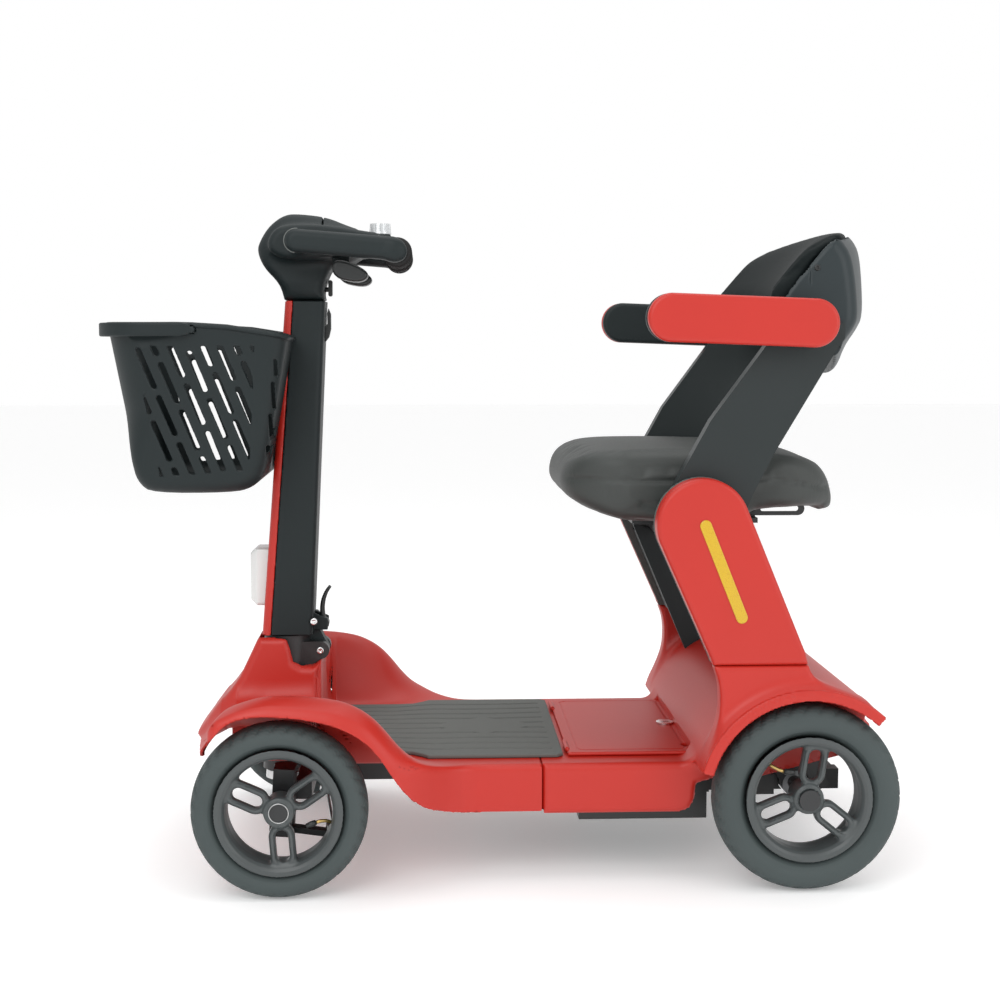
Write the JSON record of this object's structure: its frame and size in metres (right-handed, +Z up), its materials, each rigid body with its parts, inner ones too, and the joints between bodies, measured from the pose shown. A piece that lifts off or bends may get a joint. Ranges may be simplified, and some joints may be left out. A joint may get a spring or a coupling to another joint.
{
  "type": "mobility scooter",
  "caption": "Compact four-wheel mobility scooter with a folding tiller, front basket, seat on side struts, folding backrest and flip-up armrests.",
  "frame": {"origin": "on the ground, under the middle of the scooter's length and width", "axes": "+X forward, +Y to the rider's left, +Z up"},
  "size_m": [0.923, 0.486, 0.779],
  "materials": {
    "red_plastic": "satin moulded, fine grain",
    "dark_plastic": "matt moulded, fine grain",
    "black_plastic": "matt moulded",
    "grey_rubber": "ribbed mat",
    "grip_rubber": "ribbed",
    "tyre": "matt with sipes",
    "rim": "satin black",
    "black_steel": "powder coat",
    "dark_paint": "satin powder coat",
    "bare_steel": "zinc plated",
    "cast_alloy": "as cast",
    "chrome": "polished",
    "lens": "frosted lens",
    "reflector": "prismatic sheet",
    "upholstery": "soft grained vinyl",
    "dial": "silver",
    "button": "gloss",
    "drive": "satin"
  },
  "bodies": {
    "chassis": {"frame": "black_steel", "front_subframe": "black_steel", "front_shell": "red_plastic", "rear_shell": "red_plastic", "floor_mat": "grey_rubber", "battery_pack": "black_plastic", "battery_tray": "black_plastic", "controller_box": "cast_alloy", "transaxle": "cast_alloy", "drive_motor": "drive", "strut_frames": "black_steel", "strut_covers": "red_plastic", "strut_inner_covers": "dark_plastic", "reflectors": "reflector", "seat_bracket": "black_steel", "pivot_pins": "bare_steel", "seat_cushion": "upholstery", "seat_pan": "black_plastic", "seat_loops": "black_steel"},
    "hatch": {"battery_hatch": "red_plastic"},
    "lock": {"hatch_lock": "chrome"},
    "column": {"steering_shaft": "bare_steel", "tiller_hinge_base": "black_steel"},
    "knuckle_l": {"knuckle_left": "black_steel"},
    "knuckle_r": {"knuckle_right": "black_steel"},
    "tie_l": {"tie_rod_left": "bare_steel"},
    "tie_r": {"tie_rod_right": "bare_steel"},
    "wheel_fl": {"tyre_front_left": "tyre", "rim_front_left": "rim"},
    "wheel_fr": {"tyre_front_right": "tyre", "rim_front_right": "rim"},
    "wheel_rl": {"tyre_rear_left": "tyre", "rim_rear_left": "rim", "half_shaft_left": "bare_steel"},
    "wheel_rr": {"tyre_rear_right": "tyre", "rim_rear_right": "rim", "half_shaft_right": "bare_steel"},
    "tiller": {"tiller_post": "dark_paint", "tiller_front_cover": "red_plastic", "headlight": "lens", "console_housing": "dark_plastic", "handle_loop": "dark_plastic", "hand_grips": "grip_rubber", "bag_hook": "black_plastic", "basket_bracket": "black_plastic"},
    "lever": {"fold_lever": "black_plastic"},
    "throttle": {"throttle_paddle": "black_plastic"},
    "dial": {"speed_dial": "dial"},
    "horn": {"horn_button": "button"},
    "key": {"ignition_key": "black_plastic"},
    "basket_body": {"basket": "dark_plastic"},
    "handle_body": {"basket_handle": "dark_plastic"},
    "backrest": {"backrest_frame": "dark_paint", "backrest_shell": "dark_plastic", "backrest_pad": "upholstery", "shell_screws": "black_steel"},
    "armrest_l": {"armrest_cover_left": "red_plastic", "armrest_inner_left": "dark_plastic"},
    "armrest_r": {"armrest_cover_right": "red_plastic", "armrest_inner_right": "dark_plastic"}
  },
  "joints": [
    {"name": "steer", "type": "hinge", "parent": "chassis", "child": "column", "pos_m": [0.26541, 0, 0.09976], "axis": [-0.0698, 0, 0.9976], "range_deg": [-14, 14]},
    {"name": "knuckle_left_turn", "type": "hinge", "parent": "chassis", "child": "knuckle_l", "pos_m": [0.2486, 0.162, 0.09858], "axis": [-0.0698, 0, 0.9976], "range_deg": [-14, 14]},
    {"name": "knuckle_right_turn", "type": "hinge", "parent": "chassis", "child": "knuckle_r", "pos_m": [0.2486, -0.162, 0.09858], "axis": [-0.0698, 0, 0.9976], "range_deg": [-14, 14]},
    {"name": "tie_rod_left_turn", "type": "hinge", "parent": "column", "child": "tie_l", "pos_m": [0.20747, 0.014, 0.06814], "axis": [-0.0698, 0, 0.9976], "range_deg": [-14, 14]},
    {"name": "tie_rod_right_turn", "type": "hinge", "parent": "column", "child": "tie_r", "pos_m": [0.20747, -0.014, 0.06814], "axis": [-0.0698, 0, 0.9976], "range_deg": [-14, 14]},
    {"name": "wheel_front_left_spin", "type": "hinge", "parent": "knuckle_l", "child": "wheel_fl", "pos_m": [0.2485, 0.215, 0.1], "axis": [0, 1, 0], "continuous": true},
    {"name": "wheel_front_right_spin", "type": "hinge", "parent": "knuckle_r", "child": "wheel_fr", "pos_m": [0.2485, -0.215, 0.1], "axis": [0, 1, 0], "continuous": true},
    {"name": "wheel_rear_left_spin", "type": "hinge", "parent": "chassis", "child": "wheel_rl", "pos_m": [-0.3515, 0.215, 0.108], "axis": [0, 1, 0], "continuous": true},
    {"name": "wheel_rear_right_spin", "type": "hinge", "parent": "chassis", "child": "wheel_rr", "pos_m": [-0.3515, -0.215, 0.108], "axis": [0, 1, 0], "continuous": true},
    {"name": "tiller_fold", "type": "hinge", "parent": "column", "child": "tiller", "pos_m": [0.2135, 0, 0.245], "axis": [0, -1, 0], "range_deg": [0, 40]},
    {"name": "fold_lever_turn", "type": "hinge", "parent": "tiller", "child": "lever", "pos_m": [0.2105, 0, 0.276], "axis": [0, -1, 0], "range_deg": [0, 60]},
    {"name": "throttle_rock", "type": "hinge", "parent": "tiller", "child": "throttle", "pos_m": [0.1825, 0, 0.719], "axis": [0, 1, 0], "range_deg": [-10, 10]},
    {"name": "speed_dial_turn", "type": "hinge", "parent": "tiller", "child": "dial", "pos_m": [0.1365, 0, 0.76], "axis": [0, 0, 1], "range_deg": [-135, 135]},
    {"name": "horn_press", "type": "slide", "parent": "tiller", "child": "horn", "axis": [0, 0, -1], "range_m": [0, 0.003]},
    {"name": "key_turn", "type": "hinge", "parent": "tiller", "child": "key", "pos_m": [0.2005, 0, 0.69], "axis": [1, 0, 0], "range_deg": [0, 80]},
    {"name": "basket_lift", "type": "slide", "parent": "tiller", "child": "basket_body", "axis": [0, 0, 1], "range_m": [0, 0.035]},
    {"name": "basket_handle_lift", "type": "hinge", "parent": "basket_body", "child": "handle_body", "pos_m": [0.3485, 0, 0.6395], "axis": [0, -1, 0], "range_deg": [0, 90]},
    {"name": "backrest_fold", "type": "hinge", "parent": "chassis", "child": "backrest", "pos_m": [-0.2285, 0, 0.421], "axis": [0, -1, 0], "range_deg": [-95, 0]},
    {"name": "armrest_left_flip", "type": "hinge", "parent": "backrest", "child": "armrest_l", "pos_m": [-0.3435, 0.219, 0.634], "axis": [0, -1, 0], "range_deg": [0, 90]},
    {"name": "armrest_right_flip", "type": "hinge", "parent": "backrest", "child": "armrest_r", "pos_m": [-0.3435, -0.219, 0.634], "axis": [0, -1, 0], "range_deg": [0, 90]},
    {"name": "hatch_open", "type": "hinge", "parent": "chassis", "child": "hatch", "pos_m": [-0.0845, 0, 0.143], "axis": [0, 1, 0], "range_deg": [0, 75]},
    {"name": "hatch_lock_turn", "type": "hinge", "parent": "hatch", "child": "lock", "pos_m": [-0.2205, 0, 0.14], "axis": [0, 0, 1], "range_deg": [0, 90]}
  ],
  "couplings": [
    {"joint": "knuckle_left_turn", "follows": "steer", "ratio": 1},
    {"joint": "knuckle_right_turn", "follows": "steer", "ratio": 1},
    {"joint": "tie_rod_left_turn", "follows": "steer", "ratio": -1},
    {"joint": "tie_rod_right_turn", "follows": "steer", "ratio": -1}
  ]
}
